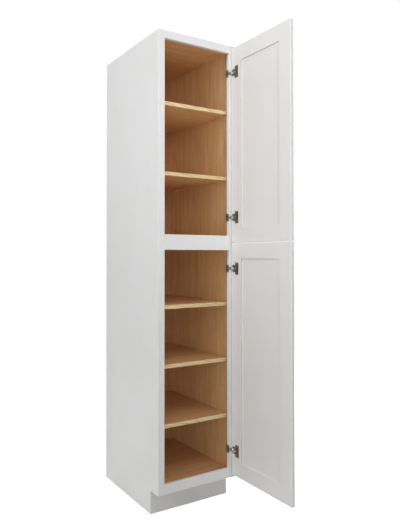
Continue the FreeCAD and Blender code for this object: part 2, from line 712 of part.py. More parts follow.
def make_hinges():
    """Make the hinges piece by piece, then the groups of their pins and screws."""
    plate_screws = []
    arm_screws = []
    pins = {door: [] for door in DOORS}
    cup_screws = {door: [] for door in DOORS}
    for hinge, door, rise in hinge_list():
        height = hinge_height(door, rise)
        make_hinge_plate(hinge, height)
        make_hinge_arm(hinge, height)
        make_hinge_cup(hinge, door, rise)
        pins[door].append(make_hinge_pin(f"{hinge}_pin", door, rise))
        plate_face = f"({STILE_EDGE} - plate_thick)"
        for number, sense in enumerate(("+", "-"), start=1):
            name = f"{hinge}_plate_screw_{number}"
            head = doc.addObject("Part::Cone", f"{name}_head")
            bind(head, Radius1="screw_head_radius", Radius2="screw_radius", Height="plate_screw_head")
            place = at(plate_face, FRAME_MIDDLE, f"({height} {sense} plate_screw_pitch / 2)", Z_TO_RIGHT)
            plate_screws.append(make_screw(name, place, head, "screw_radius", "plate_screw_length"))
        name = f"{hinge}_arm_screw"
        head = round_head(f"{name}_head", "screw_head_radius", "arm_screw_head")
        place = at(f"({plate_face} - arm_thick)", f"({FRONT} + arm_screw_place)", height, Z_TO_RIGHT)
        arm_screws.append(make_screw(name, place, head, "arm_screw_radius", "arm_thick + plate_thick"))
        for number, (along, up) in enumerate(cup_screw_spots(), start=1):
            name = f"{hinge}_cup_screw_{number}"
            head = round_head(f"{name}_head", "screw_head_radius", "cup_screw_head")
            place = in_hinge_cup(door, rise) + " * " + at(along, up, "(-flange_thick)")
            cup_screws[door].append(make_screw(name, place, head, "screw_radius", "cup_screw_length"))
    for door in DOORS:
        make_group(f"{door}_hinge_pins", pins[door])
        make_group(f"{door}_cup_screws", cup_screws[door])
    make_group("hinge_plate_screws", plate_screws)
    make_group("hinge_arm_screws", arm_screws)


def check_document():
    """Stop if any object failed, or if a sub-part has no sound solid."""
    for item in doc.Objects:
        if "Invalid" in item.State or "Error" in item.State:
            raise RuntimeError(f"{item.Name} failed: {item.State}")
    for piece in sub_parts:
        if piece.Shape.isNull() or not piece.Shape.isValid() or not piece.Shape.Solids:
            raise RuntimeError(f"{piece.Label} has no sound shape")


def write_parts():
    """Write each sub-part to its own file."""
    os.makedirs("parts", exist_ok=True)
    for piece in sub_parts:
        piece.Shape.exportStep(f"parts/{piece.Label}.step")
        print(piece.Label, len(piece.Shape.Solids), round(piece.Shape.Volume, 1))


fill_sheet()
make_case()
make_face_frame()
make_shelves()
make_doors()
make_hinges()
doc.recompute()
check_document()
write_parts()
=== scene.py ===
"""A tall painted utility cabinet with a maple inside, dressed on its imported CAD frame.

Sizes in the classes are millimetres in the part's frame: X to the right, Y to the wall, Z up.
"""
import logging
import math
from dataclasses import dataclass, field
from enum import Enum

import bmesh
import bpy
from mathutils import Euler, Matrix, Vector


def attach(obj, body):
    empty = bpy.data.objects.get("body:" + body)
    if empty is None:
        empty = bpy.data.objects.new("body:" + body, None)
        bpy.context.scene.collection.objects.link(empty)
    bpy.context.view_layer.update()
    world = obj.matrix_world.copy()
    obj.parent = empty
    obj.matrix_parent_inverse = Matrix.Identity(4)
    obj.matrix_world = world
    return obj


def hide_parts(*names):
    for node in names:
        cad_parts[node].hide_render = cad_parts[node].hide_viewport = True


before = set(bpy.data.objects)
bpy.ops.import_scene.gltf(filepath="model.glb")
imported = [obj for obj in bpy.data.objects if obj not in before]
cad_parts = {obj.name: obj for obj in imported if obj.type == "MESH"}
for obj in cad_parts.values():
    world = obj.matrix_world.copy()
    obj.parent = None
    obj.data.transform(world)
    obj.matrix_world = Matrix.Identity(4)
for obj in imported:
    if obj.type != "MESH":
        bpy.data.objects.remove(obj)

LOG = logging.getLogger("utility_cabinet")
CABINET = "cabinet"
# Millimetres to Blender's metres
MM = 0.001
# Points nearer than this are one point, in metres
WELD = 2e-6
# An edge that turns more than this stays crisp
CREASE = math.radians(50)
# Faces that turn less than this from each other are one flat face
LEVEL = math.radians(0.2)
# An edge that turns more than this is square and can be eased
SQUARE = math.radians(60)
# A face looks along an axis when its normal has more than this along it
FACING = 0.7
# An edge runs along an axis when its direction has more than this along it
ALONG = 0.99
# A face this square to an axis is a board's flat face, not part of a round
FLAT = 0.9999
# A point this near to a plane is in it, in millimetres
NEAR = 0.1
# A face's middle this near to a plane is in it, in millimetres
SLACK = 1.0
# An edge shorter than this many times its rounding stays square
LEAST_RUN = 6
# The bevel tool's number for a quarter round
QUARTER_ROUND = 0.5

# The face layer that holds each board's veneer cut
CUT_LAYER = "veneer_cut"
# How far one whole veneer cut moves the pattern, in metres
CUT_STEP = (0.731, 0.417, 0.953)
# Varnish, lacquer and wood bend light about this much
COAT_IOR = 1.5
# At this scale Blender's wave repeats once for each unit
WAVE_UNIT = math.tau / 20
WHITE = "#FFFFFF"

# Sockets of the colour form of Blender's mix node
MIX_FACTOR, MIX_A, MIX_B, MIX_RESULT = 0, 6, 7, 2

Triple = tuple[float, float, float]
SocketValue = float | tuple[float, ...] | bpy.types.NodeSocket


class Axis(Enum):
    """A direction of the part's frame, by its place in a vector."""

    X = 0
    Y = 1
    Z = 2


class Hand(Enum):
    """A side of the cabinet, by the sign of its X."""

    LEFT = -1
    RIGHT = 1


class Facing(Enum):
    """A way that a face can look, as an axis and a sign."""

    LEFT = (Axis.X, -1)
    RIGHT = (Axis.X, 1)
    FRONT = (Axis.Y, -1)
    BACK = (Axis.Y, 1)
    DOWN = (Axis.Z, -1)
    UP = (Axis.Z, 1)

    def sees(self, normal: Vector) -> bool:
        """Say whether a face with this normal looks this way."""
        axis, sign = self.value
        return sign * normal[axis.value] > FACING


class Slot(Enum):
    """A material slot of the part's record."""

    PAINTED_WOOD = "painted_wood"
    MAPLE_PLYWOOD = "maple_plywood"
    SOLID_MAPLE = "solid_maple"
    BEECH = "beech"
    NICKEL_PLATED_STEEL = "nickel_plated_steel"


class HeadShape(Enum):
    """The shape of a screw's head, as the points of its half outline from the top.

    Each point is its distance inside the head's radius, in millimetres, and its depth as a share
    of the head's height.
    """

    COUNTERSUNK = ((0.25, 0.0), (0.05, 0.15 / 1.9))
    PAN = ((0.9, 0.0), (0.35, 0.12), (0.08, 0.4), (0.0, 0.7), (0.0, 1.0))


def to_linear(code: str) -> tuple[float, float, float, float]:
    """Turn an sRGB hex colour into Blender's linear colour.

    Args:
        code: colour as "#RRGGBB".

    Returns:
        Linear red, green, blue and full alpha.
    """
    parts = [int(code[i:i + 2], 16) / 255 for i in (1, 3, 5)]
    line = [p / 12.92 if p <= 0.04045 else ((p + 0.055) / 1.055) ** 2.4 for p in parts]
    return line[0], line[1], line[2], 1.0


def add_node(tree: bpy.types.NodeTree, kind: str,
             inputs: dict[str | int, SocketValue] | None = None,
             **settings: object) -> bpy.types.Node:
    """Add one shader node with its settings, values and links.

    Args:
        tree: node tree that gets the node.
        kind: the node's type without its "ShaderNode" start.
        inputs: a value, or the socket to link from, for each input by name or number.
        settings: the node's own properties.

    Returns:
        The new node.
    """
    node = tree.nodes.new("ShaderNode" + kind)
    for key, value in settings.items():
        setattr(node, key, value)
    for key, value in (inputs or {}).items():
        if isinstance(value, bpy.types.NodeSocket):
            tree.links.new(value, node.inputs[key])
        else:
            node.inputs[key].default_value = value
    return node


def repeats(tree: bpy.types.NodeTree, size: Triple, lean: float = 0.0) -> bpy.types.NodeSocket:
    """Give coordinates that count a pattern's repeats on the piece.

    Each board reads its own stretch of the pattern, moved along by its veneer cut.

    Args:
        tree: node tree that gets the nodes.
        size: size of one repeat along X, Y and Z, in millimetres.
        lean: how far the pattern is turned about Y, in degrees.

    Returns:
        The socket that holds the coordinates.
    """
    spot = add_node(tree, "TexCoord").outputs["Object"]
    cut = add_node(tree, "Attribute", attribute_name=CUT_LAYER).outputs["Fac"]
    moved = add_node(tree, "VectorMath", {0: cut, 1: CUT_STEP, 2: spot}, operation="MULTIPLY_ADD")
    counted = add_node(tree, "Mapping", {
        "Vector": moved.outputs[0], "Rotation": (0.0, math.radians(lean), 0.0),
        "Scale": tuple(s * MM for s in size)}, vector_type="TEXTURE")
    return counted.outputs["Vector"]


def stretched(axis: Axis, along: float, across: float) -> Triple:
    """Give the size of a pattern that is long one way and narrow the other two."""
    return tuple(along if a is axis else across for a in Axis)


def seen_rays(tree: bpy.types.NodeTree) -> bpy.types.NodeSocket:
    """Give 1 for a ray from the camera or off a gloss, and 0 for light on its way round the room.

    Args:
        tree: node tree that gets the nodes.

    Returns:
        The socket that holds the number.
    """
    path = add_node(tree, "LightPath").outputs
    gloss = add_node(tree, "Math", {
        0: path["Is Glossy Ray"], 1: path["Is Transmission Ray"]}, operation="MAXIMUM")
    seen = add_node(tree, "Math", {
        0: path["Is Camera Ray"], 1: gloss.outputs[0]}, operation="MAXIMUM")
    return seen.outputs[0]


@dataclass(frozen=True)
class Finish:
    """A surface finish, which makes its material once and then hands out the same one."""

    name: str

    def material(self) -> bpy.types.Material:
        """Give the finish's material.

        Returns:
            The material, made on first use.
        """
        made = bpy.data.materials.get(self.name)
        if made is None:
            made = bpy.data.materials.new(self.name)
            made.use_nodes = True
            made.node_tree.nodes.clear()
            shader = self.dress(made.node_tree)
            add_node(made.node_tree, "OutputMaterial", {"Surface": shader.outputs[0]})
        return made

    def dress(self, tree: bpy.types.NodeTree) -> bpy.types.Node:
        """Add the finish's nodes to an empty tree and return its shader."""
        raise NotImplementedError


@dataclass(frozen=True)
class SprayedVarnish(Finish):
    """White conversion varnish sprayed over sanded maple and plywood, rubbed to a satin.

    The eye sees one soft, even white. Near to, the coat drifts a little in tone and sheen from pass
    to pass of the gun, has a fine orange-peel skin and shows the faintest lines of the grain below.
    """

    grain: Axis = Axis.Z
    colour: str = "#E2E2E2"
    thin_colour: str = "#DFDFDE"
    drift: float = 240.0
    # The skin's dimples are about 1 mm across, drawn coarser so that they show
    peel: float = 2.2
    # Grain lines under paint are 0.5 mm apart, drawn coarser so that they show
    line_along: float = 160.0
    line_across: float = 2.5
    gloss: tuple[float, float] = (0.36, 0.46)

    def dress(self, tree: bpy.types.NodeTree) -> bpy.types.Node:
        """Add the varnish's nodes.

        Args:
            tree: the material's empty node tree.

        Returns:
            The shader.
        """
        drift = add_node(tree, "TexNoise", {
            "Vector": repeats(tree, (self.drift,) * 3),
            "Scale": 1.0, "Detail": 3.0, "Roughness": 0.55})
        tone = add_node(tree, "MapRange", {
            "Value": drift.outputs[0], "From Min": 0.35, "From Max": 0.68})
        colour = add_node(tree, "Mix", {
            MIX_FACTOR: tone.outputs[0], MIX_A: to_linear(self.colour),
            MIX_B: to_linear(self.thin_colour)}, data_type="RGBA")
        sheen = add_node(tree, "MapRange", {
            "Value": drift.outputs[0], "From Min": 0.3, "From Max": 0.7,
            "To Min": self.gloss[0], "To Max": self.gloss[1]})
        peel = add_node(tree, "TexNoise", {
            "Vector": repeats(tree, (self.peel,) * 3), "Scale": 1.0, "Detail": 1.0})
        skin = add_node(tree, "Bump", {
            "Height": peel.outputs[0], "Strength": 0.1, "Distance": 0.02 * MM})
        lines = add_node(tree, "TexNoise", {
            "Vector": repeats(tree, stretched(self.grain, self.line_along, self.line_across)),
            "Scale": 1.0, "Detail": 3.0})
        raised = add_node(tree, "Bump", {
            "Height": lines.outputs[0], "Strength": 0.1, "Distance": 0.03 * MM,
            "Normal": skin.outputs[0]})
        return add_node(tree, "BsdfPrincipled", {
            "Base Color": colour.outputs[MIX_RESULT], "Roughness": sheen.outputs[0],
            "IOR": COAT_IOR, "Normal": raised.outputs[0]})


@dataclass(frozen=True)
class LacqueredWood(Finish):
    """Wood under clear lacquer, sanded between coats.

    The eye sees long streaks of tone with the grain, a broad wandering figure under them, short
    dark flecks, and a soft sheen that is a little duller over the open streaks.
    """

    grain: Axis = Axis.Z
    light: str = "#F5D1A0"
    dark: str = "#E2B77E"
    fleck: str = "#AD7F51"
    figure_along: float = 420.0
    figure_across: float = 24.0
    # Maple's streaks are 1 to 3 mm wide, drawn coarser so that they show
    streak_along: float = 190.0
    streak_across: float = 7.0
    # Maple's flecks are 0.5 mm wide, drawn coarser so that they show
    fleck_along: float = 24.0
    fleck_across: float = 2.2
    fleck_weight: float = 0.45
    # How far the grain leans from its axis, in degrees about Y
    lean: float = 0.0
    gloss: tuple[float, float] = (0.38, 0.5)

    def dress(self, tree: bpy.types.NodeTree) -> bpy.types.Node:
        """Add the wood's nodes.

        Args:
            tree: the material's empty node tree.

        Returns:
            The shader.
        """
        figure_size = stretched(self.grain, self.figure_along, self.figure_across)
        figure = add_node(tree, "TexNoise", {
            "Vector": repeats(tree, figure_size, self.lean),
            "Scale": 1.0, "Detail": 3.0, "Roughness": 0.5, "Distortion": 0.7})
        streak_size = stretched(self.grain, self.streak_along, self.streak_across)
        streak = add_node(tree, "TexNoise", {
            "Vector": repeats(tree, streak_size, self.lean),
            "Scale": 1.0, "Detail": 4.0, "Roughness": 0.6})
        both = add_node(tree, "Math", {0: figure.outputs[0], 1: streak.outputs[0]}, operation="ADD")
        tone = add_node(tree, "MapRange", {
            "Value": both.outputs[0], "From Min": 0.74, "From Max": 1.26})
        body = add_node(tree, "Mix", {
            MIX_FACTOR: tone.outputs[0], MIX_A: to_linear(self.light),
            MIX_B: to_linear(self.dark)}, data_type="RGBA")
        fleck_size = stretched(self.grain, self.fleck_along, self.fleck_across)
        fleck = add_node(tree, "TexNoise", {
            "Vector": repeats(tree, fleck_size, self.lean), "Scale": 1.0, "Detail": 1.0})
        weight = add_node(tree, "MapRange", {
            "Value": fleck.outputs[0], "From Min": 0.6, "From Max": 0.75,
            "To Max": self.fleck_weight})
        colour = add_node(tree, "Mix", {
            MIX_FACTOR: weight.outputs[0], MIX_A: body.outputs[MIX_RESULT],
            MIX_B: to_linear(self.fleck)}, data_type="RGBA")
        sheen = add_node(tree, "MapRange", {
            "Value": streak.outputs[0], "From Min": 0.3, "From Max": 0.7,
            "To Min": self.gloss[0], "To Max": self.gloss[1]})
        raised = add_node(tree, "Bump", {
            "Height": streak.outputs[0], "Strength": 0.2, "Distance": 0.08 * MM})
        return add_node(tree, "BsdfPrincipled", {
            "Base Color": colour.outputs[MIX_RESULT], "Roughness": sheen.outputs[0],
            "IOR": COAT_IOR, "Normal": raised.outputs[0]})


@dataclass(frozen=True)
class PlywoodEdge(Finish):
    """The sawn edge of plywood, where veneers lie in turn along and across.

    The eye sees thin bands: pale long grain and darker, duller end grain, with saw marks across.
    """

    thickness: Axis = Axis.X
    pale: str = "#D6B88C"
    end_grain: str = "#A67E54"
    # Two 1.5 mm plies make one repeat, drawn coarser so that they show
    pair: float = 4.0
    mark_along: float = 18.0
    mark_across: float = 2.0

    def dress(self, tree: bpy.types.NodeTree) -> bpy.types.Node:
        """Add the edge's nodes.

        Args:
            tree: the material's empty node tree.

        Returns:
            The shader.
        """
        plies = add_node(tree, "TexWave", {
            "Vector": repeats(tree, (self.pair,) * 3), "Scale": WAVE_UNIT, "Distortion": 0.4,
            "Detail": 2.0, "Detail Scale": 0.2}, bands_direction=self.thickness.name)
        band = add_node(tree, "MapRange", {
            "Value": plies.outputs["Fac"], "From Min": 0.35, "From Max": 0.65})
        marks = add_node(tree, "TexNoise", {
            "Vector": repeats(tree, stretched(self.thickness, self.mark_along, self.mark_across)),
            "Scale": 1.0, "Detail": 3.0})
        dull = add_node(tree, "MapRange", {
            "Value": marks.outputs[0], "From Min": 0.4, "From Max": 0.75, "To Max": 0.5})
        worn = add_node(tree, "Math", {
            0: band.outputs[0], 1: dull.outputs[0]}, operation="MAXIMUM")
        colour = add_node(tree, "Mix", {
            MIX_FACTOR: worn.outputs[0], MIX_A: to_linear(self.pale),
            MIX_B: to_linear(self.end_grain)}, data_type="RGBA")
        rough = add_node(tree, "MapRange", {
            "Value": marks.outputs[0], "From Min": 0.3, "From Max": 0.7,
            "To Min": 0.6, "To Max": 0.8})
        sawn = add_node(tree, "Bump", {
            "Height": marks.outputs[0], "Strength": 0.3, "Distance": 0.1 * MM})
        return add_node(tree, "BsdfPrincipled", {
            "Base Color": colour.outputs[MIX_RESULT], "Roughness": rough.outputs[0],
            "IOR": COAT_IOR, "Normal": sawn.outputs[0]})


@dataclass(frozen=True)
class NickelPlate(Finish):
    """Pressed steel with a dull nickel plate.

    The eye sees a grey metal with soft, slightly brushed reflections, cloudy where the plate is
    thicker and brighter where handling has rubbed it.
    """

    light: str = "#A9A4A3"
    dark: str = "#837F7E"
    cloud: float = 7.0
    # Press marks are about 0.1 mm apart, drawn coarser so that they show
    mark_along: float = 9.0
    mark_across: float = 0.5
    gloss: tuple[float, float] = (0.32, 0.48)

    def dress(self, tree: bpy.types.NodeTree) -> bpy.types.Node:
        """Add the plate's nodes.

        Args:
            tree: the material's empty node tree.

        Returns:
            The shader.
        """
        cloud = add_node(tree, "TexNoise", {
            "Vector": repeats(tree, (self.cloud,) * 3), "Scale": 1.0, "Detail": 3.0})
        tone = add_node(tree, "MapRange", {
            "Value": cloud.outputs[0], "From Min": 0.35, "From Max": 0.65})
        colour = add_node(tree, "Mix", {
            MIX_FACTOR: tone.outputs[0], MIX_A: to_linear(self.light),
            MIX_B: to_linear(self.dark)}, data_type="RGBA")
        rough = add_node(tree, "MapRange", {
            "Value": cloud.outputs[0], "From Min": 0.3, "From Max": 0.7,
            "To Min": self.gloss[0], "To Max": self.gloss[1]})
        marks = add_node(tree, "TexNoise", {
            "Vector": repeats(tree, stretched(Axis.Z, self.mark_along, self.mark_across)),
            "Scale": 1.0, "Detail": 2.0})
        pressed = add_node(tree, "Bump", {
            "Height": marks.outputs[0], "Strength": 0.15, "Distance": 0.02 * MM})
        return add_node(tree, "BsdfPrincipled", {
            "Base Color": colour.outputs[MIX_RESULT], "Metallic": 1.0,
            "Roughness": rough.outputs[0], "Normal": pressed.outputs[0]})


@dataclass(frozen=True)
class PaperFloor(Finish):
    """Matt white studio paper: the eye sees plain white with a soft shadow under the cabinet."""

    colour: str = "#EDEDEC"
    # Light on its way round the room meets a greyer paper, which throws less up on the cabinet
    thrown: str = "#B2B2B1"
    # How much white the paper shows of its own, so that it meets the room's white without a line
    glow: float = 0.8
    fibre: float = 3.0

    def dress(self, tree: bpy.types.NodeTree) -> bpy.types.Node:
        """Add the paper's nodes.

        Args:
            tree: the material's empty node tree.

        Returns:
            The shader.
        """
        fibre = add_node(tree, "TexNoise", {
            "Vector": repeats(tree, (self.fibre,) * 3), "Scale": 1.0, "Detail": 2.0})
        laid = add_node(tree, "Bump", {
            "Height": fibre.outputs[0], "Strength": 0.05, "Distance": 0.05 * MM})
        paper = add_node(tree, "BsdfDiffuse", {
            "Color": to_linear(self.colour), "Normal": laid.outputs[0]})
        white = add_node(tree, "Emission", {"Strength": self.glow})
        lifted = add_node(tree, "AddShader", {0: paper.outputs[0], 1: white.outputs[0]})
        thrown = add_node(tree, "BsdfDiffuse", {"Color": to_linear(self.thrown)})
        return add_node(tree, "MixShader", {
            0: seen_rays(tree), 1: thrown.outputs[0], 2: lifted.outputs[0]})


# Painted faces: an even satin white, with the grain lines under it running as the board's do
PAINT = {axis: SprayedVarnish(f"sprayed_white_varnish_{axis.name.lower()}", axis) for axis in Axis}
# Hands and dusters polish the coat on an arris, so it has more shine; its paler colour is a painted
# highlight
POLISHED_ARRIS_PAINTED_HIGHLIGHT = SprayedVarnish(
    "sprayed_white_varnish_arris", colour="#E8E8E7", thin_colour="#E2E1DD", drift=30.0,
    gloss=(0.28, 0.4))
# The forward-looking inner edges of a door's frame, in the recess round its panel: a greyer coat,
# which is painted shade
RECESS_PAINTED_SHADE = SprayedVarnish(
    "sprayed_white_varnish_recess", colour="#CACAC9", thin_colour="#C5C5C2", drift=60.0,
    gloss=(0.4, 0.5))
# The front of the stile that the doors lap over: a greyer coat, which is painted shade beside the
# open doors
LAPPED_STILE_PAINTED_SHADE = SprayedVarnish(
    "sprayed_white_varnish_lap", colour="#DADAD9", thin_colour="#D6D6D4", drift=120.0)
# Faces that look to the floor: a whiter coat, which is painted light on the undersides
UNDERSIDE_PAINTED_LIGHT = SprayedVarnish(
    "sprayed_white_varnish_drip", colour="#F6F6F5", thin_colour="#F0F0EE", drift=60.0,
    gloss=(0.3, 0.4))
# The inside of the walls: honey-pale veneer with upright streaks
WALL_MAPLE = LacqueredWood("lacquered_maple_veneer_upright")
# The inside of the back: the same veneer drawn redder and darker than the walls; the darkness is
# painted shade at the back of the case
BACK_MAPLE_PAINTED_SHADE = LacqueredWood(
    "lacquered_maple_veneer_back", light="#C7976E", dark="#B98256", fleck="#8B5B32")
# The tops of shelves and decks: the veneer drawn browner and darker than the undersides, which is
# painted shade, with streaks from side to side
DECK_MAPLE = LacqueredWood(
    "lacquered_maple_veneer_level", Axis.X, light="#D2A67C", dark="#C29062", fleck="#90613A")
# The undersides of shelves and decks: the same veneer drawn paler than the tops, which is painted
# light from below
UNDER_MAPLE_PAINTED_LIGHT = LacqueredWood(
    "lacquered_maple_veneer_underside", Axis.X, light="#E7BD8D", dark="#D6A36E", fleck="#A57549")
# The lippings were ripped a little off the grain, so its lines run out of their faces at a slant
LIPPING_MAPLE = LacqueredWood(
    "lacquered_solid_maple", Axis.X, light="#F0DDB2", dark="#C6A470", fleck="#B58B5A",
    figure_along=170.0, figure_across=8.0, streak_along=90.0, streak_across=4.0, lean=12.0)
# Faces that nobody sees were sanded and left bare, so they are paler and dull
RAW_MAPLE = LacqueredWood(
    "sanded_maple_veneer", light="#DFC59B", dark="#CFAF80", fleck="#A8824F", gloss=(0.6, 0.75))
RAW_DECK_MAPLE = LacqueredWood(
    "sanded_maple_veneer_level", Axis.X, light="#DFC59B", dark="#CFAF80", fleck="#A8824F",
    gloss=(0.6, 0.75))
# The dowels: pinkish wood with fine, short lines along them
BEECH = LacqueredWood(
    "turned_beech", Axis.X, light="#D9B48C", dark="#C79A70", fleck="#8F623D",
    figure_along=60.0, figure_across=4.0, streak_along=30.0, streak_across=1.0,
    fleck_along=4.0, fleck_across=0.6, gloss=(0.5, 0.65))
# Edges of the plywood boards, with bands across the thickness
PLY_EDGE = {axis: PlywoodEdge(f"sawn_plywood_edge_{axis.name.lower()}", axis) for axis in Axis}
# Plates, rims and screws: plain grey plate
NICKEL = NickelPlate("nickel_plated_pressed_steel")
# The pan of a cup and what turns in it are rubbed, so they keep the bright of new plate
BRIGHT_NICKEL = NickelPlate(
    "rubbed_nickel_plate", light="#C6C3BF", dark="#ABA8A4", gloss=(0.2, 0.32))
# The arms, short of where they turn bright: a dark grey plate
DARK_NICKEL = NickelPlate(
    "dark_nickel_plated_steel", light="#63605E", dark="#4B4846", gloss=(0.36, 0.5))
# The shelf pins: a near-white plate, paler than nickel, so that they mostly show the maple round
# them; the extra paleness is painted light in the shade under the shelves
PIN_NICKEL_PAINTED_LIGHT = NickelPlate(
    "pin_nickel_plate_painted_light", light="#F2EAE0", dark="#E2DACF", gloss=(0.5, 0.65))
# Lacquered veneer of a level board, by the way its face looks: lit and shaded copies of one veneer,
# the tops darker as painted shade and the undersides paler as painted light
LEVEL_MAPLE_LIT_AND_SHADED = {Facing.UP: DECK_MAPLE, Facing.DOWN: UNDER_MAPLE_PAINTED_LIGHT}


@dataclass(frozen=True)
class Patch:
    """Faces that share a finish: those that look one way, in one stretch of the piece."""

    finish: Finish
    facing: Facing | None = None
    spans: dict[Axis, tuple[float, float]] = field(default_factory=dict)

    def covers(self, centre: Vector, normal: Vector) -> bool:
        """Say whether a face belongs to the patch.

        Args:
            centre: the face's middle, in millimetres.
            normal: the way the face looks.

        Returns:
            True when the face looks the patch's way and lies in its stretch.
        """
        looks = self.facing is None or self.facing.sees(normal)
        return looks and all(
            low < centre[axis.value] < high for axis, (low, high) in self.spans.items())


@dataclass(frozen=True)
class Dressing:
    """A piece's finishes: that of the first patch that covers a face, or else the common one."""

    common: Finish
    patches: tuple[Patch, ...] = ()

    def finish_for(self, centre: Vector, normal: Vector) -> Finish:
        """Pick a face's finish.

        Args:
            centre: the face's middle, in millimetres.
            normal: the way the face looks.

        Returns:
            The finish that goes on it.
        """
        fitting = (patch.finish for patch in self.patches if patch.covers(centre, normal))
        return next(fitting, self.common)


@dataclass(frozen=True)
class Plane:
    """A plane square to an axis."""

    axis: Axis
    place: float

    def holds(self, points: tuple[Vector, Vector]) -> bool:
        """Say whether both points lie in the plane."""
        return all(abs(point[self.axis.value] - self.place) < NEAR for point in points)


@dataclass(frozen=True)
class Easing:
    """How a piece's free straight edges are sanded round, and which of them are."""

    radius: float
    finish: Finish
    # The way that the edges run, or any way
    along: Axis | None = None
    # The planes that the edges lie in, or any plane
    within: tuple[Plane, ...] | None = None
    # The planes where the piece is glued and its edges stay square
    glued: tuple[Plane, ...] = ()
    segments: int = 2

    def takes(self, ends: tuple[Vector, Vector]) -> bool:
        """Say whether an edge is sanded round.

        Args:
            ends: the edge's two ends, in millimetres.

        Returns:
            True for an edge that runs the right way, in a right plane and not where it is glued.
        """
        run = (ends[1] - ends[0]).normalized()
        if self.along is not None and abs(run[self.along.value]) <= ALONG:
            return False
        if self.within is not None and not any(plane.holds(ends) for plane in self.within):
            return False
        return not any(plane.holds(ends) for plane in self.glued)


@dataclass(frozen=True)
class Piece:
    """One visible piece in the place of a CAD node, with eased edges and dressed faces."""

    node: str
    body: str
    slot: Slot
    dressing: Dressing
    easing: Easing | None = None
    # The board's own stretch of the veneer's pattern
    cut: float = 0.0
    # An X where one finish gives way to another
    change_at: float | None = None

    def build(self) -> bpy.types.Object:
        """Build the piece from its CAD node and put it on its body.

        Returns:
            The new object.
        """
        work = bmesh.new()
        work.from_mesh(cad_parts[self.node].data)
        bmesh.ops.remove_doubles(work, verts=work.verts[:], dist=WELD)
        if self.change_at is not None:
            bmesh.ops.bisect_plane(
                work, geom=work.verts[:] + work.edges[:] + work.faces[:], dist=WELD,
                plane_co=(self.change_at * MM, 0.0, 0.0), plane_no=(1.0, 0.0, 0.0))
        rounded = self.ease(work, self.easing) if self.easing else set()
        finishes: list[Finish] = []
        for face in work.faces:
            face.smooth = self.easing is None or max(abs(c) for c in face.normal) < FLAT
            if face in rounded:
                finish = self.easing.finish
            else:
                finish = self.dressing.finish_for(face.calc_center_median() / MM, face.normal)
            if finish not in finishes:
                finishes.append(finish)
            face.material_index = finishes.index(finish)
        return self.place(work, finishes)

    @staticmethod
    def ease(work: bmesh.types.BMesh, easing: Easing) -> set[bmesh.types.BMFace]:
        """Round a welded mesh's free straight edges a little.

        Args:
            work: the mesh, in metres.
            easing: how the edges are rounded, and which of them.

        Returns:
            The faces of the rounded edges.
        """
        bmesh.ops.dissolve_limit(
            work, angle_limit=LEVEL, verts=work.verts[:], edges=work.edges[:])
        picked = []
        for edge in work.edges:
            free = len(edge.link_faces) == 2 and edge.is_convex
            square = free and edge.calc_face_angle() > SQUARE
            long = edge.calc_length() > LEAST_RUN * easing.radius * MM
            if square and long and easing.takes(tuple(v.co / MM for v in edge.verts)):
                picked.append(edge)
        made = bmesh.ops.bevel(
            work, geom=picked, offset=easing.radius * MM, segments=easing.segments,
            profile=QUARTER_ROUND, affect="EDGES", clamp_overlap=True)
        return set(made["faces"])

    def place(self, work: bmesh.types.BMesh, finishes: list[Finish]) -> bpy.types.Object:
        """Turn a finished mesh into the piece that stands for the CAD node.

        Args:
            work: the mesh, in metres, which is freed.
            finishes: finishes in the order of the faces' numbers.

        Returns:
            The new object.
        """
        work.normal_update()
        for edge in work.edges:
            edge.smooth = len(edge.link_faces) == 2 and edge.calc_face_angle() < CREASE
        mesh = bpy.data.meshes.new(f"{self.node}_finished")
        work.to_mesh(mesh)
        work.free()
        # Normals carried over from the CAD mesh no longer fit the eased one
        carried = mesh.attributes.get("custom_normal")
        if carried is not None:
            mesh.attributes.remove(carried)
        for finish in finishes:
            mesh.materials.append(finish.material())
        layer = mesh.attributes.new(CUT_LAYER, "FLOAT", "FACE")
        layer.data.foreach_set("value", [self.cut] * len(mesh.polygons))
        piece = bpy.data.objects.new(mesh.name, mesh)
        bpy.context.scene.collection.objects.link(piece)
        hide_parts(self.node)
        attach(piece, self.body)
        LOG.info("%s rides on %s", piece.name, self.body)
        return piece


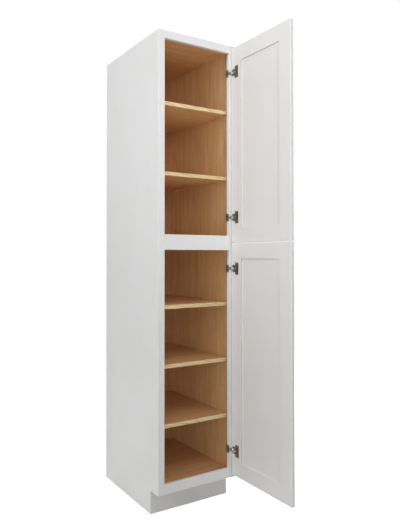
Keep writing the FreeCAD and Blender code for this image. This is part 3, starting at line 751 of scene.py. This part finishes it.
@dataclass
class Carcass:
    """The case: two notched sides, the back, the top, three decks and the toe board."""

    half_width: float = 228.6
    frame_back: float = -590.55
    toe_front: float = -533.4
    toe_height: float = 114.3
    arris: float = 0.6
    # Each board's stretch of the veneer's pattern
    side_cuts: dict[Hand, float] = field(
        default_factory=lambda: {Hand.LEFT: 0.6, Hand.RIGHT: 1.4})
    back_cut: float = 2.3
    deck_cut: float = 3.1
    deck_cut_step: float = 0.57
    # The level boards, with the face of each that is lacquered
    decks: dict[str, Facing] = field(default_factory=lambda: {
        "top_panel": Facing.DOWN, "bottom_deck": Facing.UP,
        "lower_section_ceiling": Facing.DOWN, "upper_section_floor": Facing.UP})

    def build(self) -> None:
        """Build every board of the case."""
        for hand in Hand:
            self.side_panel(hand)
        self.back_panel()
        for number, (node, lacquered) in enumerate(self.decks.items()):
            self.deck(node, lacquered, self.deck_cut + self.deck_cut_step * number)
        self.toe_board()

    def side_panel(self, hand: Hand) -> bpy.types.Object:
        """Build a side panel: painted outside and round the toe space, maple inside.

        Args:
            hand: which side of the cabinet it is.

        Returns:
            The new object.
        """
        outside = hand.value * self.half_width
        toe_notch = {Axis.Y: (-math.inf, self.toe_front + SLACK),
                     Axis.Z: (SLACK, self.toe_height + SLACK)}
        dressing = Dressing(PLY_EDGE[Axis.X], (
            Patch(PAINT[Axis.Z], Facing[hand.name], {Axis.X: (outside - SLACK, outside + SLACK)}),
            Patch(WALL_MAPLE, Facing.LEFT),
            Patch(WALL_MAPLE, Facing.RIGHT),
            Patch(PAINT[Axis.Z], spans=toe_notch)))
        # Its outer arrises take a paler coat, which is a painted highlight
        easing = Easing(self.arris, POLISHED_ARRIS_PAINTED_HIGHLIGHT, within=(Plane(Axis.X, outside),),
                        glued=(Plane(Axis.Y, self.frame_back),))
        return Piece(f"{hand.name.lower()}_side_panel", CABINET, Slot.PAINTED_WOOD, dressing,
                     easing, self.side_cuts[hand]).build()

    def back_panel(self) -> bpy.types.Object:
        """Build the back, lacquered inside and only sanded on the wall side.

        Returns:
            The new object.
        """
        # The lacquered inside is drawn darker, which is painted shade
        dressing = Dressing(PLY_EDGE[Axis.Y], (
            Patch(BACK_MAPLE_PAINTED_SHADE, Facing.FRONT), Patch(RAW_MAPLE, Facing.BACK)))
        return Piece("back_panel", CABINET, Slot.MAPLE_PLYWOOD, dressing,
                     Easing(self.arris, PLY_EDGE[Axis.Y]), self.back_cut).build()

    def deck(self, node: str, lacquered: Facing, cut: float) -> bpy.types.Object:
        """Build a level board of the case.

        Args:
            node: name of the CAD node.
            lacquered: the way its lacquered face looks.
            cut: the board's own stretch of the veneer's pattern.

        Returns:
            The new object.
        """
        # Tops drawn darker are painted shade and undersides drawn paler are painted light
        dressing = Dressing(PLY_EDGE[Axis.Z], tuple(
            Patch(maple if facing is lacquered else RAW_DECK_MAPLE, facing)
            for facing, maple in LEVEL_MAPLE_LIT_AND_SHADED.items()))
        return Piece(node, CABINET, Slot.MAPLE_PLYWOOD, dressing,
                     Easing(self.arris, PLY_EDGE[Axis.Z]), cut).build()

    def toe_board(self) -> bpy.types.Object:
        """Build the toe board, painted in front.

        Returns:
            The new object.
        """
        dressing = Dressing(PLY_EDGE[Axis.Y], (Patch(PAINT[Axis.X], Facing.FRONT),))
        # Its arrises take a paler coat, which is a painted highlight
        return Piece("toe_board", CABINET, Slot.PAINTED_WOOD, dressing,
                     Easing(self.arris, POLISHED_ARRIS_PAINTED_HIGHLIGHT)).build()


@dataclass
class FaceFrame:
    """The frame on the front of the case: two stiles, three rails and the dowels between them."""

    back: float = -590.55
    arris: float = 0.8
    stiles: tuple[str, ...] = ("left_frame_stile", "right_frame_stile")
    # The stile that the doors lap over
    lapped: str = "right_frame_stile"
    rails: tuple[str, ...] = ("bottom_frame_rail", "middle_frame_rail", "top_frame_rail")

    def build(self) -> None:
        """Build the frame's pieces."""
        for stile in self.stiles:
            self.member(stile, Axis.Z)
        for rail in self.rails:
            self.member(rail, Axis.X)
        Piece("frame_dowels", CABINET, Slot.BEECH, Dressing(BEECH)).build()

    def member(self, node: str, grain: Axis) -> bpy.types.Object:
        """Build one stile or rail, with the edges along its grain eased.

        Args:
            node: name of the CAD node.
            grain: the way its grain runs.

        Returns:
            The new object.
        """
        # The lapped stile's front takes a greyer coat, which is painted shade, and faces that look
        # down a whiter coat, which is painted light
        lap = (Patch(LAPPED_STILE_PAINTED_SHADE, Facing.FRONT),) if node == self.lapped else ()
        dressing = Dressing(PAINT[grain], (*lap, Patch(UNDERSIDE_PAINTED_LIGHT, Facing.DOWN)))
        # The eased edges take a paler coat, which is a painted highlight
        easing = Easing(
            self.arris, POLISHED_ARRIS_PAINTED_HIGHLIGHT, along=grain, glued=(Plane(Axis.Y, self.back),))
        return Piece(node, CABINET, Slot.PAINTED_WOOD, dressing, easing).build()


@dataclass
class Shelves:
    """The loose shelves, each with a solid lipping in front, and the pins that carry them."""

    lower: int = 3
    upper: int = 2
    lipping_arris: float = 1.2
    front: float = -571.55
    # Each shelf's stretch of the veneer's pattern
    first_cut: float = 5.0
    cut_step: float = 0.83
    pin_groups: tuple[str, ...] = ("lower_shelf_pins", "upper_shelf_pins")

    def build(self) -> None:
        """Build the shelves and their pins."""
        names = [f"lower_shelf_{n + 1}" for n in range(self.lower)]
        names += [f"upper_shelf_{n + 1}" for n in range(self.upper)]
        for number, name in enumerate(names):
            self.shelf(name, self.first_cut + self.cut_step * number)
        for group in self.pin_groups:
            # The pins' near-white plate is painted light in the shade under the shelves
            Piece(group, CABINET, Slot.NICKEL_PLATED_STEEL, Dressing(PIN_NICKEL_PAINTED_LIGHT)).build()

    def shelf(self, name: str, cut: float) -> None:
        """Build one shelf, and its lipping with the front edges eased.

        Args:
            name: name of the shelf's node and body.
            cut: the shelf's own stretch of the veneer's pattern.
        """
        # Tops drawn darker are painted shade and undersides drawn paler are painted light
        dressing = Dressing(PLY_EDGE[Axis.Z], tuple(
            Patch(maple, facing) for facing, maple in LEVEL_MAPLE_LIT_AND_SHADED.items()))
        Piece(name, name, Slot.MAPLE_PLYWOOD, dressing, cut=cut).build()
        easing = Easing(
            self.lipping_arris, LIPPING_MAPLE, within=(Plane(Axis.Y, self.front),))
        Piece(f"{name}_lipping", name, Slot.SOLID_MAPLE, Dressing(LIPPING_MAPLE), easing,
              cut).build()


class DoorMember(Enum):
    """A member of a door, by the end of its node's name."""

    HINGE_STILE = "hinge_stile"
    FREE_STILE = "free_stile"
    TOP_RAIL = "top_rail"
    BOTTOM_RAIL = "bottom_rail"
    PANEL = "panel"


@dataclass
class Door:
    """A frame-and-panel door, which stands open at a right angle to the frame at rest."""

    name: str
    back_face: float = 207.5
    front_face: float = 226.55
    arris: float = 0.8
    rails: tuple[DoorMember, ...] = (DoorMember.TOP_RAIL, DoorMember.BOTTOM_RAIL)
    # Coats on the edges that look forward: a greyer coat in the recess, which is painted shade, and
    # a paler, polished coat on the free edge, which is a painted highlight
    forward_shade_and_highlight: dict[DoorMember, Finish] = field(default_factory=lambda: {
        DoorMember.HINGE_STILE: RECESS_PAINTED_SHADE, DoorMember.FREE_STILE: POLISHED_ARRIS_PAINTED_HIGHLIGHT})

    def build(self) -> None:
        """Build the door's members and its panel."""
        for member in DoorMember:
            self.member(member)

    def member(self, member: DoorMember) -> bpy.types.Object:
        """Build one member of the door.

        Args:
            member: which of the door's members it is.

        Returns:
            The new object.
        """
        # The hinge stile's forward edge gets painted shade, the free stile's a painted highlight,
        # and faces that look down painted light
        coat = self.forward_shade_and_highlight.get(member)
        forward = (Patch(coat, Facing.FRONT),) if coat else ()
        grain = Axis.Y if member in self.rails else Axis.Z
        dressing = Dressing(PAINT[grain], (*forward, Patch(UNDERSIDE_PAINTED_LIGHT, Facing.DOWN)))
        easing = None if member is DoorMember.PANEL else self.easing(member)
        return Piece(f"{self.name}_{member.value}", self.name, Slot.PAINTED_WOOD, dressing,
                     easing).build()

    def easing(self, member: DoorMember) -> Easing:
        """Give the easing of a rail along its faces, or of a stile, which is round from the CAD.

        Args:
            member: which of the door's members it is.

        Returns:
            The easing, which takes no edge of a stile.
        """
        # The eased rail edges take a paler coat, which is a painted highlight
        faces = (Plane(Axis.X, self.back_face), Plane(Axis.X, self.front_face))
        return Easing(self.arris, POLISHED_ARRIS_PAINTED_HIGHLIGHT, along=Axis.Y,
                      within=faces if member in self.rails else ())


@dataclass(frozen=True)
class CrossScrew:
    """A screw that points to the right, with a cross recess in its head."""

    shape: HeadShape
    head_tall: float
    shank_radius: float
    length: float
    head_radius: float = 3.4
    point_length: float = 2.0
    point_radius: float = 0.4
    recess_reach: float = 1.7
    recess_half_width: float = 0.42
    recess_depth: float = 1.1
    # How wide the recess is at its floor, as a share of its mouth
    recess_taper: float = 0.55
    rounds: int = 24

    def profile(self) -> list[tuple[float, float]]:
        """Give the screw's half outline from its head to its tip.

        Returns:
            Radius and distance into the wood from the head's flat top.
        """
        head = [(self.head_radius - inset, share * self.head_tall)
                for inset, share in self.shape.value]
        shank = [(self.shank_radius, self.head_tall),
                 (self.shank_radius, self.length - self.point_length)]
        return head + shank + [(self.point_radius, self.length)]

    def cross(self) -> list[tuple[float, float]]:
        """Give the outline of the recess's mouth.

        Returns:
            Y and Z from the screw's axis, once round.
        """
        half, reach = self.recess_half_width, self.recess_reach
        arm = ((reach, -half), (reach, half), (half, half))
        quarters = ((1, 0), (0, 1), (-1, 0), (0, -1))
        return [(c * y - s * z, s * y + c * z) for c, s in quarters for y, z in arm]

    def add_to(self, work: bmesh.types.BMesh, top: Vector) -> None:
        """Add the screw to a mesh.

        Args:
            work: mesh that gets the screw, in metres.
            top: middle of the head's flat top, in millimetres.
        """
        def ring(spots: list[tuple[float, float]], into: float) -> list[bmesh.types.BMVert]:
            """Add a ring of points at one depth."""
            return [work.verts.new((top + Vector((into, y, z))) * MM) for y, z in spots]

        angles = [math.tau * n / self.rounds for n in range(self.rounds)]
        loops = [ring([(radius * math.cos(a), radius * math.sin(a)) for a in angles], into)
                 for radius, into in self.profile()]
        for near, far in zip(loops, loops[1:]):
            bridge(work, near, far)
        work.faces.new(loops[-1])
        mouth = ring(self.cross(), 0.0)
        floor = ring([(self.recess_taper * y, self.recess_taper * z) for y, z in self.cross()],
                     self.recess_depth)
        bridge(work, mouth, floor)
        work.faces.new(floor)
        rims = [work.edges.get(pair) for rim in (loops[0], mouth) for pair in zip(rim, turned(rim))]
        bmesh.ops.triangle_fill(work, edges=rims, use_beauty=True)


def turned(ring: list[bmesh.types.BMVert]) -> list[bmesh.types.BMVert]:
    """Give a ring of points that starts one point later."""
    return ring[1:] + ring[:1]


def bridge(work: bmesh.types.BMesh, near: list[bmesh.types.BMVert],
           far: list[bmesh.types.BMVert]) -> None:
    """Join two rings of points by a band of faces."""
    for corners in zip(near, turned(near), turned(far), far):
        work.faces.new(corners)


@dataclass
class Hinges:
    """The concealed hinges: frame plates, arms, cups and pins, and the screws that hold them."""

    doors: tuple[str, ...] = ("upper_door", "lower_door")
    ends: tuple[str, ...] = ("top", "bottom")
    # Heights of the hinges, two for each door
    heights: tuple[float, ...] = (2216.7, 1460.5, 1195.5, 260.0)
    plate_face: float = 190.4
    plate_middle: float = -600.075
    plate_pitch: float = 25.0
    arm_face: float = 186.0
    arm_middle: float = -599.6
    cup_face: float = 204.4
    cup_middle: float = -657.65
    cup_pitch: float = 45.0
    # Where the plate turns from dull to bright, along X
    arm_bright: float = 203.0
    cup_bright: float = 208.0
    plate_screw: CrossScrew = CrossScrew(
        HeadShape.COUNTERSUNK, head_tall=1.9, shank_radius=1.75, length=16.0)
    arm_screw: CrossScrew = CrossScrew(
        HeadShape.PAN, head_tall=2.0, shank_radius=2.0, length=7.6)
    cup_screw: CrossScrew = CrossScrew(
        HeadShape.PAN, head_tall=1.6, shank_radius=1.75, length=13.6)

    def build(self) -> None:
        """Build the hinges and their screws."""
        for door in self.doors:
            for end in self.ends:
                hinge = f"{door}_{end}_hinge"
                self.fitting(f"{hinge}_plate", CABINET, NICKEL)
                self.fitting(f"{hinge}_arm", CABINET, DARK_NICKEL, self.arm_bright)
                self.fitting(f"{hinge}_cup", door, NICKEL, self.cup_bright)
            self.fitting(f"{door}_hinge_pins", door, NICKEL)
        self.screws("hinge_plate_screws", CABINET, self.plate_screw, self.pairs(
            self.plate_face, self.plate_middle, self.plate_pitch, self.heights))
        self.screws("hinge_arm_screws", CABINET, self.arm_screw, [
            Vector((self.arm_face, self.arm_middle, z)) for z in self.heights])
        count = len(self.ends)
        for number, door in enumerate(self.doors):
            heights = self.heights[number * count:(number + 1) * count]
            self.screws(f"{door}_cup_screws", door, self.cup_screw, self.pairs(
                self.cup_face, self.cup_middle, self.cup_pitch, heights))

    @staticmethod
    def pairs(face: float, middle: float, pitch: float, heights: tuple[float, ...]) -> list[Vector]:
        """Give the places of screws that stand in pairs, one above and one below each hinge.

        Args:
            face: X of the heads' flat tops.
            middle: Y of the screws.
            pitch: distance from one screw of a pair to the other.
            heights: heights of the hinges.

        Returns:
            The middles of the heads' flat tops.
        """
        return [Vector((face, middle, z + side * pitch / 2)) for z in heights for side in (1, -1)]

    @staticmethod
    def fitting(node: str, body: str, dull: Finish,
                bright_from: float | None = None) -> bpy.types.Object:
        """Build one metal piece of a hinge.

        Args:
            node: name of the CAD node.
            body: name of the body that carries it.
            dull: finish away from the door.
            bright_from: where the plate turns bright, along X.

        Returns:
            The new object.
        """
        dressing = Dressing(dull)
        if bright_from is not None:
            away = {Axis.X: (-math.inf, bright_from)}
            dressing = Dressing(BRIGHT_NICKEL, (Patch(dull, spans=away),))
        return Piece(node, body, Slot.NICKEL_PLATED_STEEL, dressing, change_at=bright_from).build()

    @staticmethod
    def screws(node: str, body: str, screw: CrossScrew, tops: list[Vector]) -> bpy.types.Object:
        """Build a group of like screws.

        Args:
            node: name of the group's CAD node.
            body: name of the body that carries it.
            screw: what each screw is.
            tops: middles of the heads' flat tops.

        Returns:
            The new object.
        """
        work = bmesh.new()
        for top in tops:
            screw.add_to(work, top)
        bmesh.ops.recalc_face_normals(work, faces=work.faces[:])
        for face in work.faces:
            face.smooth = True
        group = Piece(node, body, Slot.NICKEL_PLATED_STEEL, Dressing(NICKEL))
        return group.place(work, [NICKEL])


# Middle of the cabinet with its doors open, where most lamps are aimed
MIDDLE = (0.0, -450.0, 1250.0)


@dataclass(frozen=True)
class Lamp:
    """A square soft lamp."""

    name: str
    place: Triple
    side: float
    watts: float
    aim: Triple = MIDDLE
    # How wide a cone the lamp's grid lets out, in degrees
    spread: float = 180.0

    def build(self) -> bpy.types.Object:
        """Hang the lamp and turn it to its aim.

        Returns:
            The new object.
        """
        light = bpy.data.lights.new(self.name, "AREA")
        light.shape = "SQUARE"
        light.size = self.side * MM
        light.energy = self.watts
        light.spread = math.radians(self.spread)
        lamp = bpy.data.objects.new(self.name, light)
        bpy.context.scene.collection.objects.link(lamp)
        lamp.location = Vector(self.place) * MM
        way = Vector(self.aim) - Vector(self.place)
        lamp.rotation_euler = way.to_track_quat("-Z", "Y").to_euler()
        lamp.visible_camera = False
        return lamp


@dataclass
class Studio:
    """The room round the cabinet: white floor and walls, soft lamps and the camera."""

    floor_side: float = 60000.0
    floor_cells: int = 8
    room_light: float = 0.27
    # The first five light what the photograph shows, the last two only the far sides
    lamps: tuple[Lamp, ...] = (
        Lamp("left_lamp", (-4200.0, -950.0, 3000.0), 400.0, 84.0),
        Lamp("top_lamp", (-800.0, -2600.0, 4200.0), 2600.0, 46.0),
        Lamp("low_lamp", (-2000.0, -4600.0, 720.0), 1400.0, 26.4),
        Lamp("upper_lamp", (-1300.0, -4300.0, 2700.0), 1200.0, 4.1, (0.0, -300.0, 2100.0), 60.0),
        Lamp("foot_lamp", (-700.0, -1900.0, 120.0), 900.0, 1.15, (0.0, -500.0, 2300.0), 60.0),
        Lamp("side_lamp", (3300.0, -200.0, 2200.0), 2000.0, 60.0),
        Lamp("back_lamp", (300.0, 3600.0, 2600.0), 900.0, 7.0, (0.0, 0.0, 1300.0), 55.0),
    )
    eye: Triple = (-1507.43, -2893.48, 1264.62)
    yaw: float = 31.935
    pitch: float = 1.118
    picture: tuple[int, int] = (400, 532)
    focal_px: float = 544.605
    centre_px: tuple[float, float] = (183.897, 244.46)
    # What lies nearer or further than this isn't drawn, in metres
    clip: tuple[float, float] = (0.05, 200.0)

    def build(self) -> None:
        """Build the floor, the light and the camera."""
        bpy.context.scene.view_settings.view_transform = "Standard"
        self.floor()
        self.room()
        for lamp in self.lamps:
            lamp.build()
            LOG.info("%s hung", lamp.name)
        self.camera()

    def floor(self) -> bpy.types.Object:
        """Lay the white floor.

        Returns:
            The new object.
        """
        work = bmesh.new()
        bmesh.ops.create_grid(work, x_segments=self.floor_cells, y_segments=self.floor_cells,
                              size=self.floor_side / 2 * MM)
        mesh = bpy.data.meshes.new("studio_floor")
        work.to_mesh(mesh)
        work.free()
        mesh.materials.append(PaperFloor("matt_white_paper").material())
        floor = bpy.data.objects.new(mesh.name, mesh)
        bpy.context.scene.collection.objects.link(floor)
        return floor

    def room(self) -> None:
        """Light the room evenly from all round, and show it as white."""
        world = bpy.data.worlds.new("white_room")
        world.use_nodes = True
        tree = world.node_tree
        tree.nodes.clear()
        light = add_node(tree, "Background", {
            "Strength": self.room_light, "Color": to_linear(WHITE)})
        white = add_node(tree, "Background", {"Strength": 1.0, "Color": to_linear(WHITE)})
        both = add_node(tree, "MixShader", {
            0: seen_rays(tree), 1: light.outputs[0], 2: white.outputs[0]})
        add_node(tree, "OutputWorld", {"Surface": both.outputs[0]})
        bpy.context.scene.world = world

    def camera(self) -> bpy.types.Object:
        """Set the camera where the photograph was taken from.

        Returns:
            The new object.
        """
        data = bpy.data.cameras.new("photo_camera")
        across, tall = self.picture
        data.lens = data.sensor_width * self.focal_px / tall
        data.shift_x = (across / 2 - self.centre_px[0]) / tall
        data.shift_y = (self.centre_px[1] - tall / 2) / tall
        data.clip_start, data.clip_end = self.clip
        camera = bpy.data.objects.new(data.name, data)
        bpy.context.scene.collection.objects.link(camera)
        camera.location = Vector(self.eye) * MM
        camera.rotation_euler = Euler(
            (math.radians(90 + self.pitch), 0.0, math.radians(-self.yaw)))
        bpy.context.scene.camera = camera
        return camera


def main() -> None:
    """Build the cabinet and its studio."""
    logging.basicConfig(level=logging.INFO, format="%(name)s: %(message)s")
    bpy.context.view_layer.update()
    doors = (Door("upper_door"), Door("lower_door"))
    for assembly in (Carcass(), FaceFrame(), Shelves(), *doors, Hinges(), Studio()):
        assembly.build()
        LOG.info("%s built", type(assembly).__name__)


if __name__ == "__main__":
    main()
